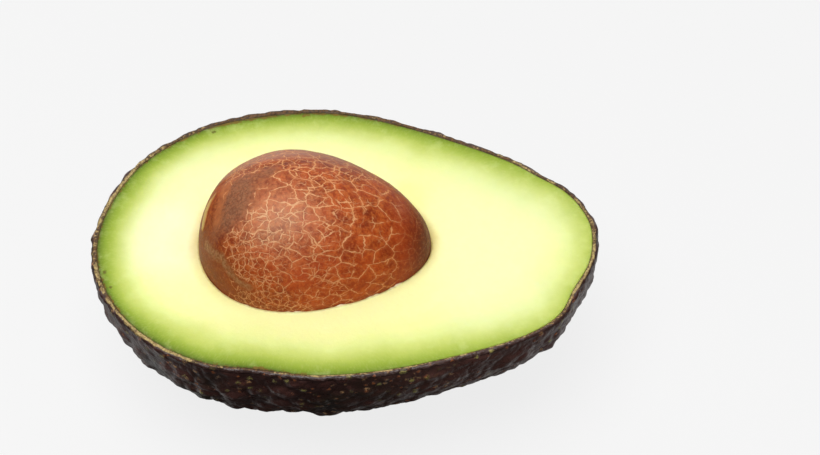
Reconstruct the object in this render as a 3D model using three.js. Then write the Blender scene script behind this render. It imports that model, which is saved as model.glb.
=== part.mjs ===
// Cut half of an avocado, lying on its back: a thin pebbled skin, the flesh it holds,
// and the seed that still sits in the flesh.
//
// Millimetres, +Z up. The cut face is level on top and the round back rests on a small
// flat spot, with the origin on the ground under its middle. +X points to the narrow stem
// end, and the cut face is a little fuller on its -Y side.

import * as THREE from 'three';

// ---- the fruit ---------------------------------------------------------------------

const HALF_LENGTH = 48.2; // flesh, from its middle to either end
const STATIONS = [-1, -0.5, 0, 0.5, 1]; // places along the half length, blossom to stem end
const NEAR_FULLNESS = [36.7, 34.5, 32, 32.3, 42.6]; // how full the -Y side is at each station
const FAR_FULLNESS = [35.9, 37.5, 33.9, 28.2, 28.6]; // and the +Y side
const DEPTH_RATIO = 0.963; // depth under the cut, as a share of the half width

// Swells and flats round the rim: where (degrees from +X), how wide and how high.
const SWELLS = [
  { at: -111, spread: 9, rise: -1 },
  { at: -82, spread: 18, rise: 0.6 },
  { at: -21, spread: 8, rise: -1.2 },
  { at: 0, spread: 12, rise: 0.5 },
  { at: 34, spread: 8, rise: -0.6 },
  { at: 108, spread: 14, rise: -1.1 },
  { at: 145, spread: 12, rise: 0.6 },
];

const GAP = 0.3; // between skin and flesh, and between flesh and seed
const SKIN_THICKNESS = 0.95; // in the hollows between the pebbles

// ---- the pebbles on the skin -------------------------------------------------------

const PEBBLE_PITCH = 3.4; // one pebble in each cell of this size
const PEBBLE_STRETCH = 1.2; // pebbles are this much longer along the fruit
const PEBBLE_REACH = 3.3; // from a pebble's middle to its foot
const PEBBLE_HEIGHT = 1.15; // of the tallest
const PEBBLE_SEED = 11;
const CALM_DEPTH = 8; // they are lower down to this far under the cut
const CALM_SHARE = 0.5; // of their height that is left at the cut

// ---- the rest spot -----------------------------------------------------------------

const CUT_HEIGHT = 32.8; // the cut face above the ground
const REST_X = -8.5; // middle of the flat spot, from the middle of the fruit
const REST_Y = 1.5;
const PRESSED_REACH = 14; // round the flat spot the pebbles are pressed down to one height
const PRESSED_HEIGHT = 0.4;
const SPOT_HEIGHT = 0.06; // the flat spot above the ground
const FOOT_COUNT = 6; // low points round the flat spot, the only ones on the ground
const FEET_X = 0.9; // middle of their ring, from the middle of the flat spot
const FEET_HALF_LENGTH = 10.6;
const FEET_HALF_WIDTH = 8.6;

// ---- the seed ----------------------------------------------------------------------

const SEED_X = -5.7; // its middle, from the middle of the fruit
const SEED_Y = -0.8;
const SEED_HALF_LENGTH = 22.8;
const SEED_NEAR_WIDTH = 16.7; // from its middle to its -Y side
const SEED_FAR_WIDTH = 18.3; // and to its +Y side
const SEED_HEIGHT = 17.7; // above the cut, and as much below it
const SEED_TAPER = 0.22; // how much slimmer it gets towards the stem end
const SEED_TURN = -4; // degrees about the vertical

// ---- how finely each surface is divided: rings from its pole to its rim ------------

const SKIN_RINGS = 38;
const LINING_RINGS = 16; // inside of the skin, and outside of the flesh
const SEED_RINGS = 11;

// ---- formulas ----------------------------------------------------------------------

const QUARTER_TURN = Math.PI / 2;

// The smooth curve through one value at each station, read at s between -1 and 1.
function throughStations(values, s) {
  let sum = 0;
  STATIONS.forEach((here, i) => {
    const others = STATIONS.filter((_, j) => j !== i);
    sum += values[i] * others.reduce((weight, there) => (weight * (s - there)) / (here - there), 1);
  });
  return sum;
}

// How far the rim stands out or in at an angle round it, in millimetres.
function swell(angle) {
  const degrees = THREE.MathUtils.radToDeg(angle);
  return SWELLS.reduce((sum, { at, spread, rise }) => {
    const away = THREE.MathUtils.euclideanModulo(degrees - at + 180, 360) - 180;
    return sum + rise * Math.exp(-((away / spread) ** 2));
  }, 0);
}

// Point of the fruit's surface in a unit direction, outset by a thickness. The cut plane
// is z = CUT_HEIGHT. A direction in the cut plane gives a point in the cut plane.
function fruitSurface(direction, outset) {
  const { x: along, y, z } = direction;
  const across = Math.hypot(y, z);
  const near = throughStations(NEAR_FULLNESS, along);
  const far = throughStations(FAR_FULLNESS, along);
  const fullness = (near + far) / 2 + outset;
  const inPlane = Math.hypot(along, y);
  const bulge = inPlane > 0 ? swell(Math.atan2(y, along)) * inPlane : 0;
  return new THREE.Vector3(
    (HALF_LENGTH + outset + bulge) * along - REST_X,
    ((far - near) / 2) * across + (fullness + bulge) * y - REST_Y,
    CUT_HEIGHT + fullness * DEPTH_RATIO * z,
  );
}

// Point of the seed's surface in a unit direction, outset by a clearance.
function seedSurface(direction, outset) {
  const { x: along, y, z } = direction;
  const slimness = 1 - SEED_TAPER * along;
  const width = ((SEED_NEAR_WIDTH + SEED_FAR_WIDTH) / 2) * slimness;
  const lean = ((SEED_FAR_WIDTH - SEED_NEAR_WIDTH) / 2) * slimness;
  return new THREE.Vector3(
    (SEED_HALF_LENGTH + outset) * along,
    lean * Math.hypot(y, z) + (width + outset) * y,
    (SEED_HEIGHT * slimness + outset) * z,
  )
    .applyAxisAngle(new THREE.Vector3(0, 0, 1), THREE.MathUtils.degToRad(SEED_TURN))
    .add(new THREE.Vector3(SEED_X - REST_X, SEED_Y - REST_Y, CUT_HEIGHT));
}

// A repeatable random number from 0 to 1 for a cell of the pebble grid.
function cellRandom(i, j, k, draw) {
  let h = Math.imul(i, 0x27d4eb2d) ^ Math.imul(j, 0x165667b1) ^ Math.imul(k, 0x1b873593);
  h ^= Math.imul(draw + PEBBLE_SEED, 0x85ebca6b);
  h = Math.imul(h ^ (h >>> 15), 0x2c1b3c6d);
  h = Math.imul(h ^ (h >>> 12), 0x297a2d39);
  return ((h ^ (h >>> 15)) >>> 0) / 2 ** 32;
}

// Height of the pebbled skin over its hollows. Each cell holds the middle of one pebble,
// a round bump, and the bumps meet in creases.
function pebbles(point) {
  const p = [point.x / PEBBLE_STRETCH, point.y, point.z];
  const cell = p.map((value) => Math.floor(value / PEBBLE_PITCH));
  let height = 0;
  for (let di = -1; di <= 1; di++) {
    for (let dj = -1; dj <= 1; dj++) {
      for (let dk = -1; dk <= 1; dk++) {
        const at = [cell[0] + di, cell[1] + dj, cell[2] + dk];
        const offsets = at.map((c, axis) => (c + cellRandom(...at, axis)) * PEBBLE_PITCH - p[axis]);
        const nearness = Math.max(0, 1 - Math.hypot(...offsets) / PEBBLE_REACH);
        const tallness = 0.4 + 0.6 * cellRandom(...at, 3);
        height = Math.max(height, tallness * nearness * nearness * (3 - 2 * nearness));
      }
    }
  }
  return PEBBLE_HEIGHT * height;
}

// Nothing of a surface goes below its own floor, which makes the flat spot.
function pressedFlat(point, floor) {
  point.z = Math.max(point.z, floor);
  return point;
}

function skinOutside(direction) {
  const hollow = GAP + SKIN_THICKNESS;
  const at = fruitSurface(direction, hollow);
  const under = THREE.MathUtils.smoothstep(CUT_HEIGHT - at.z, 0, CALM_DEPTH);
  const calm = THREE.MathUtils.lerp(CALM_SHARE, 1, under);
  const pressed = Math.exp(-((Math.hypot(at.x, at.y) / PRESSED_REACH) ** 4));
  const relief = THREE.MathUtils.lerp(calm * pebbles(at), PRESSED_HEIGHT, pressed);
  return pressedFlat(fruitSurface(direction, hollow + relief), SPOT_HEIGHT);
}

function skinInside(direction) {
  return pressedFlat(fruitSurface(direction, GAP), SPOT_HEIGHT + SKIN_THICKNESS);
}

function fleshOutside(direction) {
  return pressedFlat(fruitSurface(direction, 0), SPOT_HEIGHT + SKIN_THICKNESS + GAP);
}

// ---- meshes ------------------------------------------------------------------------

// Rings of points from a pole to a rim. Ring i has 6 i points, so all the triangles
// between the rings are of about one size. side is -1 for a bowl and 1 for a cap.
function domeRings(rings, side, place) {
  const made = [];
  for (let i = 0; i <= rings; i++) {
    const fromPole = (QUARTER_TURN * i) / rings;
    const count = Math.max(1, 6 * i);
    const ring = [];
    for (let k = 0; k < count; k++) {
      const round = (2 * Math.PI * k) / count;
      const flat = Math.sin(fromPole);
      const up = i === rings ? 0 : side * Math.cos(fromPole);
      ring.push(place(new THREE.Vector3(flat * Math.cos(round), flat * Math.sin(round), up)));
    }
    made.push(ring);
  }
  return made;
}

// Triangles between two closed rings of any two counts, both counterclockwise from
// above. They face up where the first ring lies inside the second.
function bridge(inner, outer) {
  const triangles = [];
  const a = inner.length;
  const b = outer.length;
  let i = 0;
  let j = 0;
  while (i < a || j < b) {
    const outerNext = j < b && (i === a || (j + 1) * a <= (i + 1) * b || a === 1);
    const p = inner[i % a];
    const q = outer[j % b];
    if (outerNext) {
      triangles.push([p, q, outer[(j + 1) % b]]);
      j++;
    } else {
      if (a > 1) {
        triangles.push([p, q, inner[(i + 1) % a]]);
      }
      i++;
    }
  }
  return triangles;
}

// All the triangles of a dome, facing up.
function domeTriangles(rings) {
  return rings.slice(1).flatMap((ring, i) => bridge(rings[i], ring));
}

function turnedOver(triangles) {
  return triangles.map(([p, q, r]) => [p, r, q]);
}

function rim(rings) {
  return rings[rings.length - 1];
}

// Lowers a few points of the flat spot to the ground, in a ring round its edge, so that
// the skin stands on them without rocking.
function lowerFeet(rings) {
  const spot = rings.flat().filter((point) => point.z === SPOT_HEIGHT);
  for (let k = 0; k < FOOT_COUNT; k++) {
    const angle = (2 * Math.PI * (k + 0.5)) / FOOT_COUNT;
    const x = FEET_X + FEET_HALF_LENGTH * Math.cos(angle);
    const foot = new THREE.Vector3(x, FEET_HALF_WIDTH * Math.sin(angle), SPOT_HEIGHT);
    const nearest = spot.reduce((p, q) => (p.distanceTo(foot) < q.distanceTo(foot) ? p : q));
    nearest.z = 0;
  }
  return rings;
}

function meshOf(name, triangles, material) {
  const geometry = new THREE.BufferGeometry().setFromPoints(triangles.flat());
  geometry.computeVertexNormals();
  const mesh = new THREE.Mesh(geometry, material);
  mesh.name = name;
  return mesh;
}

// ---- the three pieces --------------------------------------------------------------

function makeSkin() {
  const outside = lowerFeet(domeRings(SKIN_RINGS, -1, skinOutside));
  const inside = domeRings(LINING_RINGS, -1, skinInside);
  const triangles = [
    ...turnedOver(domeTriangles(outside)),
    ...domeTriangles(inside),
    ...bridge(rim(inside), rim(outside)),
  ];
  const material = new THREE.MeshStandardMaterial({ color: 0x33272a, roughness: 0.35, metalness: 0 });
  return meshOf('skin', triangles, material);
}

function makeFlesh() {
  const outside = domeRings(LINING_RINGS, -1, fleshOutside);
  const hollow = domeRings(SEED_RINGS, -1, (direction) => seedSurface(direction, GAP));
  const triangles = [
    ...turnedOver(domeTriangles(outside)),
    ...domeTriangles(hollow),
    ...bridge(rim(hollow), rim(outside)),
  ];
  const material = new THREE.MeshStandardMaterial({ color: 0xf0f3a6, roughness: 0.5, metalness: 0 });
  return meshOf('flesh', triangles, material);
}

function makeSeed() {
  const place = (direction) => seedSurface(direction, 0);
  const triangles = [
    ...turnedOver(domeTriangles(domeRings(SEED_RINGS, -1, place))),
    ...domeTriangles(domeRings(SEED_RINGS, 1, place)),
  ];
  const material = new THREE.MeshStandardMaterial({ color: 0x9a4322, roughness: 0.4, metalness: 0 });
  return meshOf('seed', triangles, material);
}

const avocadoHalf = new THREE.Group();
avocadoHalf.name = 'avocado_half';
avocadoHalf.add(makeSkin(), makeFlesh(), makeSeed());

export default avocadoHalf;
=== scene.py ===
"""Cut half of an avocado with its seed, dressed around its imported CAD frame.

Metres, +Z up. The cut face is level on top, the round back rests on the ground at the
origin, and +X points to the narrow stem end.
"""

import itertools
import math

import bpy
import numpy as np
from bpy.props import FloatProperty, FloatVectorProperty, IntProperty, PointerProperty
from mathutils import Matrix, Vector


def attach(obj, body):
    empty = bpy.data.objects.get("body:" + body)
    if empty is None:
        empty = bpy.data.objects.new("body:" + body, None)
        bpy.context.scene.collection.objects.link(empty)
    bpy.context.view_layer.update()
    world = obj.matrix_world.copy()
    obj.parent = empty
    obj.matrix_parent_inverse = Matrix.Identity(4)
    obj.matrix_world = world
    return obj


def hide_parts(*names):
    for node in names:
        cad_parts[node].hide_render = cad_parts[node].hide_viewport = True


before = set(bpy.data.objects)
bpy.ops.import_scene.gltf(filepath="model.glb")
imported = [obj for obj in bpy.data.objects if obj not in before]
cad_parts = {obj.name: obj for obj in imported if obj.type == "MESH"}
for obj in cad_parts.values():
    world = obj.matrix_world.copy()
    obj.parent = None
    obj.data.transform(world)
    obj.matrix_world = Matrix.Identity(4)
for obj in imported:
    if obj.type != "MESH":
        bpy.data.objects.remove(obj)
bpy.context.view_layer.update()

bl_info = {
    "name": "Avocado Half",
    "version": (1, 0, 0),
    "blender": (4, 5, 0),
    "location": "3D View > Sidebar > Avocado",
    "description": "Makes the skin, flesh and seed of a halved avocado and a plain stage",
    "category": "Add Mesh",
}

MM = 0.001
QUARTER_TURN = math.pi / 2

# ---- the fruit's shape, as its solids have it ----

HALF_LENGTH = 48.2 * MM  # flesh, from its middle to either end
STATIONS = (-1, -0.5, 0, 0.5, 1)  # places along the half length, blossom to stem end
NEAR_FULLNESS = (36.7 * MM, 34.5 * MM, 32 * MM, 32.3 * MM, 42.6 * MM)  # of the -Y side
FAR_FULLNESS = (35.9 * MM, 37.5 * MM, 33.9 * MM, 28.2 * MM, 28.6 * MM)  # of the +Y side
DEPTH_RATIO = 0.963  # depth under the cut, as a share of the half width

# Swells and flats round the rim: degrees from +X, spread in degrees, height.
SWELLS = (
    (-111, 9, -1 * MM),
    (-82, 18, 0.6 * MM),
    (-21, 8, -1.2 * MM),
    (0, 12, 0.5 * MM),
    (34, 8, -0.6 * MM),
    (108, 14, -1.1 * MM),
    (145, 12, 0.6 * MM),
)

CUT_HEIGHT = 32.8 * MM  # the cut face above the ground
FRUIT_MIDDLE = np.array([8.5, -1.5, 32.8]) * MM
PRESSED_REACH = 14 * MM  # round the flat spot the pebbles are pressed down to one height
PRESSED_HEIGHT = 0.4 * MM
CALM_DEPTH = 8 * MM  # the pebbles are lower this far under the cut, and lowest at the cut
CALM_SHARE = 0.5  # of their height that is left at the cut
CALM_SIDE = -82  # degrees round the fruit, where the pebbles are lowest of all
CALM_SPREAD = 45

GAP = 0.3 * MM  # between the skin's solid and the flesh's
SKIN_THICKNESS = 0.95 * MM  # in the hollows between the pebbles
PEBBLE_STRETCH = 1.2  # pebbles are this much longer along the fruit
PEBBLE_DRAW = 11  # first of the four random draws for each pebble

SEED_MIDDLE = FRUIT_MIDDLE + np.array([-5.7, -0.8, 0]) * MM
SEED_HALF_LENGTH = 22.8 * MM
SEED_NEAR_WIDTH = 16.7 * MM  # from its middle to its -Y side
SEED_FAR_WIDTH = 18.3 * MM  # and to its +Y side
SEED_HEIGHT = 17.7 * MM
SEED_TAPER = 0.22  # how much slimmer it gets towards the stem end
SEED_TURN = math.radians(-4)

# ---- random numbers and smooth noise on points ----


def cell_random(cells, draw):
    """A repeatable random number from 0 to 1 for each cell of a grid."""
    i, j, k = (cells[..., axis].astype(np.uint32) for axis in range(3))
    h = i * np.uint32(0x27D4EB2D) ^ j * np.uint32(0x165667B1) ^ k * np.uint32(0x1B873593)
    h = h ^ np.uint32(draw * 0x85EBCA6B & 0xFFFFFFFF)
    h = (h ^ h >> np.uint32(15)) * np.uint32(0x2C1B3C6D)
    h = (h ^ h >> np.uint32(12)) * np.uint32(0x297A2D39)
    return (h ^ h >> np.uint32(15)) / 2.0**32


def bumps(points, pitch, reach, draw):
    """Height from 0 to 1 of round bumps scattered one to each cell of the pitch, and how
    near its bump's middle each point is, from 0 to 1. Bumps meet in creases."""
    cells = np.floor(points / pitch).astype(np.int64)
    height = np.zeros(len(points))
    nearness = np.zeros(len(points))
    for step in itertools.product((-1, 0, 1), repeat=3):
        at = cells + step
        jitter = np.stack([cell_random(at, draw + axis) for axis in range(3)], axis=1)
        away = np.linalg.norm((at + jitter) * pitch - points, axis=1)
        part = np.maximum(0, 1 - away / reach)
        risen = (0.4 + 0.6 * cell_random(at, draw + 3)) * part * part * (3 - 2 * part)
        nearness = np.where(risen > height, part, nearness)
        height = np.maximum(height, risen)
    return height, nearness


def drift(points, pitch, draw):
    """Smooth noise from -1 to 1 that changes over about one pitch. Each draw is another."""
    cells = np.floor(points / pitch).astype(np.int64)
    part = points / pitch - cells
    part = part * part * (3 - 2 * part)
    total = np.zeros(len(points))
    for corner in itertools.product((0, 1), repeat=3):
        weight = np.prod(np.where(corner, part, 1 - part), axis=1)
        total += weight * cell_random(cells + corner, draw)
    return 2 * total - 1


def smooth(low, high, value):
    """0 below low, 1 above high, and an S curve between them."""
    part = np.clip((value - low) / (high - low), 0, 1)
    return part * part * (3 - 2 * part)


def fading(away, reach):
    """1 where away is 0, fading to 0 at about a reach."""
    return np.exp(-((away / reach) ** 2))


# ---- surfaces ----


def through_stations(values, s):
    """The smooth curve through one value at each station, read at s from -1 to 1."""
    total = 0
    for here, value in zip(STATIONS, values):
        weight = value
        for there in STATIONS:
            if there != here:
                weight = weight * (s - there) / (here - there)
        total = total + weight
    return total


def swell(angle):
    """How far the rim stands out or in at an angle round it."""
    total = 0
    for at, spread, rise in SWELLS:
        away = (np.degrees(angle) - at + 180) % 360 - 180
        total = total + rise * fading(away, spread)
    return total


def angle_round(points):
    """The angle of each point round the vertical, from +X."""
    return np.arctan2(points[:, 1], points[:, 0])


def read_round(table, angle):
    """The columns of a table at an angle round the vertical. Its first column is degrees."""
    stations, *columns = zip(*table)
    return [np.interp(np.degrees(angle) % 360, stations, column) for column in columns]


def fruit_surface(directions, outset):
    """Points of the fruit's surface in unit directions, outset by a thickness. A
    direction in the cut plane gives a point in the cut plane."""
    along, y, z = directions.T
    near = through_stations(NEAR_FULLNESS, along)
    far = through_stations(FAR_FULLNESS, along)
    fullness = (near + far) / 2 + outset
    bulge = swell(np.arctan2(y, along)) * np.hypot(along, y)
    offset = np.stack(
        [
            (HALF_LENGTH + outset + bulge) * along,
            (far - near) / 2 * np.hypot(y, z) + (fullness + bulge) * y,
            fullness * DEPTH_RATIO * z,
        ],
        axis=1,
    )
    return FRUIT_MIDDLE + offset


def seed_surface(directions, outset):
    """Points of the seed's surface in unit directions, outset by a clearance."""
    along, y, z = directions.T
    slimness = 1 - SEED_TAPER * along
    width = (SEED_NEAR_WIDTH + SEED_FAR_WIDTH) / 2 * slimness
    lean = (SEED_FAR_WIDTH - SEED_NEAR_WIDTH) / 2 * slimness
    x = (SEED_HALF_LENGTH + outset) * along
    y = lean * np.hypot(y, z) + (width + outset) * y
    z = (SEED_HEIGHT * slimness + outset) * z
    c, s = math.cos(SEED_TURN), math.sin(SEED_TURN)
    return SEED_MIDDLE + np.stack([c * x - s * y, s * x + c * y, z], axis=1)


def ring_directions(count, tilt=QUARTER_TURN, side=1):
    """Unit directions evenly round the vertical, tilted away from straight up for side 1
    or straight down for side -1."""
    turn = 2 * math.pi * np.arange(count) / count
    flat = math.sin(tilt)
    rise = np.full(count, side * math.cos(tilt))
    return np.stack([flat * np.cos(turn), flat * np.sin(turn), rise], axis=1)


def away_from_path(points, path):
    """How far each point is from a line of straight stretches through the path."""
    path = np.array(path)
    away = np.full(len(points), np.inf)
    for start, end in zip(path, path[1:]):
        stretch = end - start
        part = np.clip((points - start) @ stretch / (stretch @ stretch), 0, 1)
        away = np.minimum(away, np.linalg.norm(points - start - part[:, None] * stretch, axis=1))
    return away


# ---- closed meshes made of rings of points ----


class Shell:
    """The points, triangles and point values of one mesh while it is put together."""

    def __init__(self):
        self.count = 0
        self.points = []
        self.values = []
        self.triangles = []

    def ring(self, points, **values):
        """Adds a ring of points, counterclockwise from above, and returns their numbers. A
        value that only other rings have is 0 in this one."""
        self.points.append(points)
        self.values.append(values)
        self.count += len(points)
        return range(self.count - len(points), self.count)

    def join(self, inner, outer, up=True):
        """Fills the band between two rings. Its triangles face up where up is true and
        the first ring lies inside the second."""
        a, b = len(inner), len(outer)
        i = j = 0
        while i < a or j < b:
            outer_next = j < b and (i == a or (j + 1) * a <= (i + 1) * b or a == 1)
            p, q = inner[i % a], outer[j % b]
            if outer_next:
                third = outer[(j + 1) % b]
                j += 1
            else:
                third = inner[(i + 1) % a]
                i += 1
                if a == 1:
                    continue
            self.triangles.append((p, q, third) if up else (p, third, q))

    def dome(self, rings, place, side, up, reach=QUARTER_TURN):
        """Rings from a pole to a rim, each as fine as the next. place takes directions
        and returns points and their values. Returns the rim's numbers."""
        last = None
        for i in range(rings + 1):
            points, values = place(ring_directions(max(1, 6 * i), reach * i / rings, side))
            made = self.ring(points, **values)
            if last is not None:
                self.join(last, made, up)
            last = made
        return last

    def build(self, name, material):
        """Makes the mesh's object, with its values as attributes of its points."""
        mesh = bpy.data.meshes.new(name)
        mesh.from_pydata(np.concatenate(self.points).tolist(), [], self.triangles)
        for value_name in dict.fromkeys(itertools.chain(*self.values)):
            kept = [
                np.broadcast_to(values.get(value_name, 0), len(points))
                for points, values in zip(self.points, self.values)
            ]
            attribute = mesh.attributes.new(value_name, "FLOAT", "POINT")
            attribute.data.foreach_set("value", np.concatenate(kept).astype(np.float32))
        mesh.shade_smooth()
        mesh.materials.append(material)
        piece = bpy.data.objects.new(name, mesh)
        bpy.context.scene.collection.objects.link(piece)
        return piece


# ---- shader maths ----


class Wire:
    """An output of a material's node, used in Python expressions."""

    def __init__(self, finish, socket):
        self.finish = finish
        self.socket = socket

    def _with(self, operation, first, second):
        vectors = [x for x in (first, second) if isinstance(x, Wire) and x.socket.type == "VECTOR"]
        kind = "VectorMath" if vectors else "Math"
        return self.finish.node(kind, {"operation": operation}, {0: first, 1: second})

    def __add__(self, other):
        return self._with("ADD", self, other)

    def __radd__(self, other):
        return self._with("ADD", other, self)

    def __sub__(self, other):
        return self._with("SUBTRACT", self, other)

    def __rsub__(self, other):
        return self._with("SUBTRACT", other, self)

    def __mul__(self, other):
        return self._with("MULTIPLY", self, other)

    def __rmul__(self, other):
        return self._with("MULTIPLY", other, self)

    def __truediv__(self, other):
        return self._with("DIVIDE", self, other)

    def __rtruediv__(self, other):
        return self._with("DIVIDE", other, self)


def linear(red, green, blue):
    """A screen colour from 0 to 255 as the linear colour that shaders take."""
    parts = [channel / 255 for channel in (red, green, blue)]
    return tuple(p / 12.92 if p <= 0.04045 else ((p + 0.055) / 1.055) ** 2.4 for p in parts)


class Finish:
    """The nodes of a material or of the world."""

    def __init__(self, owner, place="Object"):
        self.owner = owner
        owner.use_nodes = True
        self.tree = owner.node_tree
        self.tree.nodes.clear()
        self.place = self.node("TexCoord", output=place)

    def node(self, kind, settings=None, sockets=None, output=0):
        """Adds a node, sets its settings and then its sockets, and returns an output."""
        made = self.tree.nodes.new("ShaderNode" + kind)
        for name, value in (settings or {}).items():
            if name == "stops":
                self._set_stops(made.color_ramp, value)
            else:
                setattr(made, name, value)
        for name, value in (sockets or {}).items():
            socket = made.inputs[name]
            if isinstance(value, Wire):
                self.tree.links.new(value.socket, socket)
            elif isinstance(value, tuple) and socket.type == "RGBA":
                socket.default_value = (*value, 1)
            elif socket.type == "VECTOR" and not isinstance(value, tuple):
                socket.default_value = (value, value, value)
            else:
                socket.default_value = value
        return Wire(self, made.outputs[output]) if made.outputs else made

    @staticmethod
    def _set_stops(ramp, stops):
        while len(ramp.elements) < len(stops):
            ramp.elements.new(1)
        for element, (position, color) in zip(ramp.elements, stops):
            element.position = position
            element.color = (*color, 1)

    def value(self, name):
        """A point value of the mesh."""
        return self.node("Attribute", {"attribute_name": name}, output="Fac")

    def step(self, value, low, high):
        """0 at low, 1 at high, and an S curve between them."""
        sockets = {"Value": value, "From Min": low, "From Max": high}
        return self.node("MapRange", {"interpolation_type": "SMOOTHSTEP"}, sockets)

    def frayed(self, value, noise, reach, low, high):
        """A step that noise frays: it moves the value by up to half the reach."""
        return self.step(value + (noise - 0.5) * reach, low, high)

    def mix(self, factor, first, second):
        """Colours mixed by a factor."""
        return self.node("Mix", {"data_type": "RGBA"}, {0: factor, 6: first, 7: second}, output=2)

    def larger(self, first, second):
        return self.node("Math", {"operation": "MAXIMUM"}, {0: first, 1: second})

    def over(self, color, *layers):
        """A colour with layers laid over it. Each is a share and a screen colour or a mix."""
        for share, tint in layers:
            color = self.mix(share, color, linear(*tint) if isinstance(tint, tuple) else tint)
        return color

    def noise(self, size, detail=2, roughness=0.5, where=None):
        """Noise from 0 to 1 with features of about a size in metres."""
        sockets = {"Scale": 1 / size, "Detail": detail, "Roughness": roughness}
        return self.node("TexNoise", {}, {"Vector": where or self.place, **sockets}, output="Fac")

    def shift(self, size, reach, where=None):
        """The place, moved about by noise of a size, as far as reach."""
        sockets = {"Vector": where or self.place, "Scale": 1 / size, "Detail": 2}
        cloud = self.node("TexNoise", {}, sockets, output="Color")
        offset = self.node("VectorMath", {"operation": "SUBTRACT"}, {0: cloud, 1: (0.5, 0.5, 0.5)})
        return (where or self.place) + offset * (2 * reach)

    def cells(self, size, where, feature="F1", flat=False, randomness=1.0, output="Distance"):
        """Cells of about a size in metres. Distances are in cell sizes."""
        settings = {"feature": feature, "voronoi_dimensions": "2D" if flat else "3D"}
        sockets = {"Vector": where, "Scale": 1 / size, "Randomness": randomness}
        return self.node("TexVoronoi", settings, sockets, output=output)

    def bump(self, height, distance, below=None):
        """A normal roughened by a height from 0 to 1 that stands for a real distance."""
        sockets = {"Height": height, "Distance": distance, "Strength": 1}
        if below:
            sockets["Normal"] = below
        return self.node("Bump", {}, sockets)

    def surface(self, sockets):
        """Ends the material in a Principled shader with these sockets."""
        shader = self.node("BsdfPrincipled", {}, sockets)
        self.node("OutputMaterial", {}, {"Surface": shader})
        return self.owner


# ---- skin ----


class SkinSettings(bpy.types.PropertyGroup):
    rings: IntProperty(
        name="Rings", description="Rings of points from the bottom to the rim", default=158, min=20
    )
    pebble_pitch: FloatProperty(
        name="Pebble Pitch", description="Space for each pebble", default=3.4 * MM, unit="LENGTH"
    )
    pebble_reach: FloatProperty(
        name="Pebble Reach", description="From its middle to its foot", default=3.3 * MM, unit="LENGTH"
    )
    pebble_height: FloatProperty(
        name="Pebble Height", description="Of the tallest", default=1.15 * MM, unit="LENGTH"
    )
    color: FloatVectorProperty(
        name="Colour",
        description="Of the skin away from its green and worn places",
        subtype="COLOR",
        default=linear(80, 50, 45),
        min=0,
        max=1,
    )


LESSER_PITCH = 1.9 * MM  # lesser pebbles between the large ones
LESSER_REACH = 1.7 * MM
LESSER_HEIGHT = 0.3 * MM
LESSER_DRAW = 31
WRINKLE_DEPTH = 0.12 * MM
WRINKLE_PITCHES = (1.5 * MM, 0.8 * MM)  # coarse and fine
BEND_PITCH = 2.5 * MM  # lesser pebbles and wrinkles are bent by noise of this size
BEND_REACH = 0.8 * MM
FINE_LEVEL = 0.3  # taken from the fine relief, so that it cuts in as well as stands out
CALM_LEVELS = (12 * MM, 22 * MM)  # between these heights the calm side begins


def skin_relief(points, settings):
    """Height of the skin over its hollows, and how near its pebble's tip each point is."""
    squeezed = points / (PEBBLE_STRETCH, 1, 1)
    pebbles, nearness = bumps(squeezed, settings.pebble_pitch, settings.pebble_reach, PEBBLE_DRAW)
    bent = points + BEND_REACH * drift(points, BEND_PITCH, 7)[:, None]
    lesser, _ = bumps(bent, LESSER_PITCH, LESSER_REACH, LESSER_DRAW)
    coarse, small = (np.abs(drift(bent, WRINKLE_PITCHES[i], 5 + i)) for i in range(2))
    wrinkles = coarse + 0.5 * small
    fine = LESSER_HEIGHT * (lesser - FINE_LEVEL) - WRINKLE_DEPTH * (wrinkles - FINE_LEVEL)
    calm = CALM_SHARE + (1 - CALM_SHARE) * smooth(0, CALM_DEPTH, CUT_HEIGHT - points[:, 2])
    side = np.degrees(angle_round(points - FRUIT_MIDDLE)) - CALM_SIDE
    upper = smooth(*CALM_LEVELS, points[:, 2])
    calm = calm * (1 - 0.5 * fading(side, CALM_SPREAD) * upper)
    relief = np.maximum(settings.pebble_height * pebbles * calm + fine, 0)
    pressed = np.exp(-((np.hypot(points[:, 0], points[:, 1]) / PRESSED_REACH) ** 4))
    pressed = pressed * (points[:, 2] < CUT_HEIGHT / 2)
    return relief + (PRESSED_HEIGHT - relief) * pressed, nearness


# The bare edge of the skin: degrees round the rim, its width in millimetres, and how
# golden it is, from 0, dark brown, to 1.
RIM_BAND = (
    (0, 0.75, 0.5),
    (20, 0.6, 0.45),
    (55, 0.65, 0.38),
    (75, 0.85, 0.22),
    (115, 1.0, 0.22),
    (135, 0.85, 0.38),
    (155, 0.8, 0.7),
    (180, 0.9, 0.42),
    (205, 0.85, 0.55),
    (232, 0.75, 0.72),
    (237, 0.65, 0.25),
    (250, 0.6, 0.25),
    (256, 0.6, 0.52),
    (285, 0.5, 0.46),
    (310, 0.5, 0.45),
    (340, 0.7, 0.58),
    (360, 0.75, 0.5),
)

RIM_ROUNDING = 0.45 * MM  # radius of the skin's outer edge
RIM_PROUD = 0.1 * MM  # how far the skin's edge stands over the cut face
RIM_DIP = 0.1 * MM  # how far it sinks where it meets the flesh
RIM_GRAIN = 0.04 * MM
RIM_START = 0.6 * MM  # where the rim's own rings begin, under the cut
RIM_RADIUS = 34 * MM  # about how far the rim is from the middle of the cut
RIM_TURNS = (0.2, 0.42, 0.64, 0.85, 1.0)  # its rings round the outer edge, as shares of the turn
RIM_RINGS = (0.8, 0.6, 0.4, 0.22, 0.1, 0.0)  # and over the top, as shares of the way out
BAND_END = 5.0  # the band value on the rest of the skin, where it counts widths of bare edge
LINING_RINGS = 24
LINING_REACH = QUARTER_TURN - 0.03  # how far the hidden linings go before they meet the rim


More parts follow.
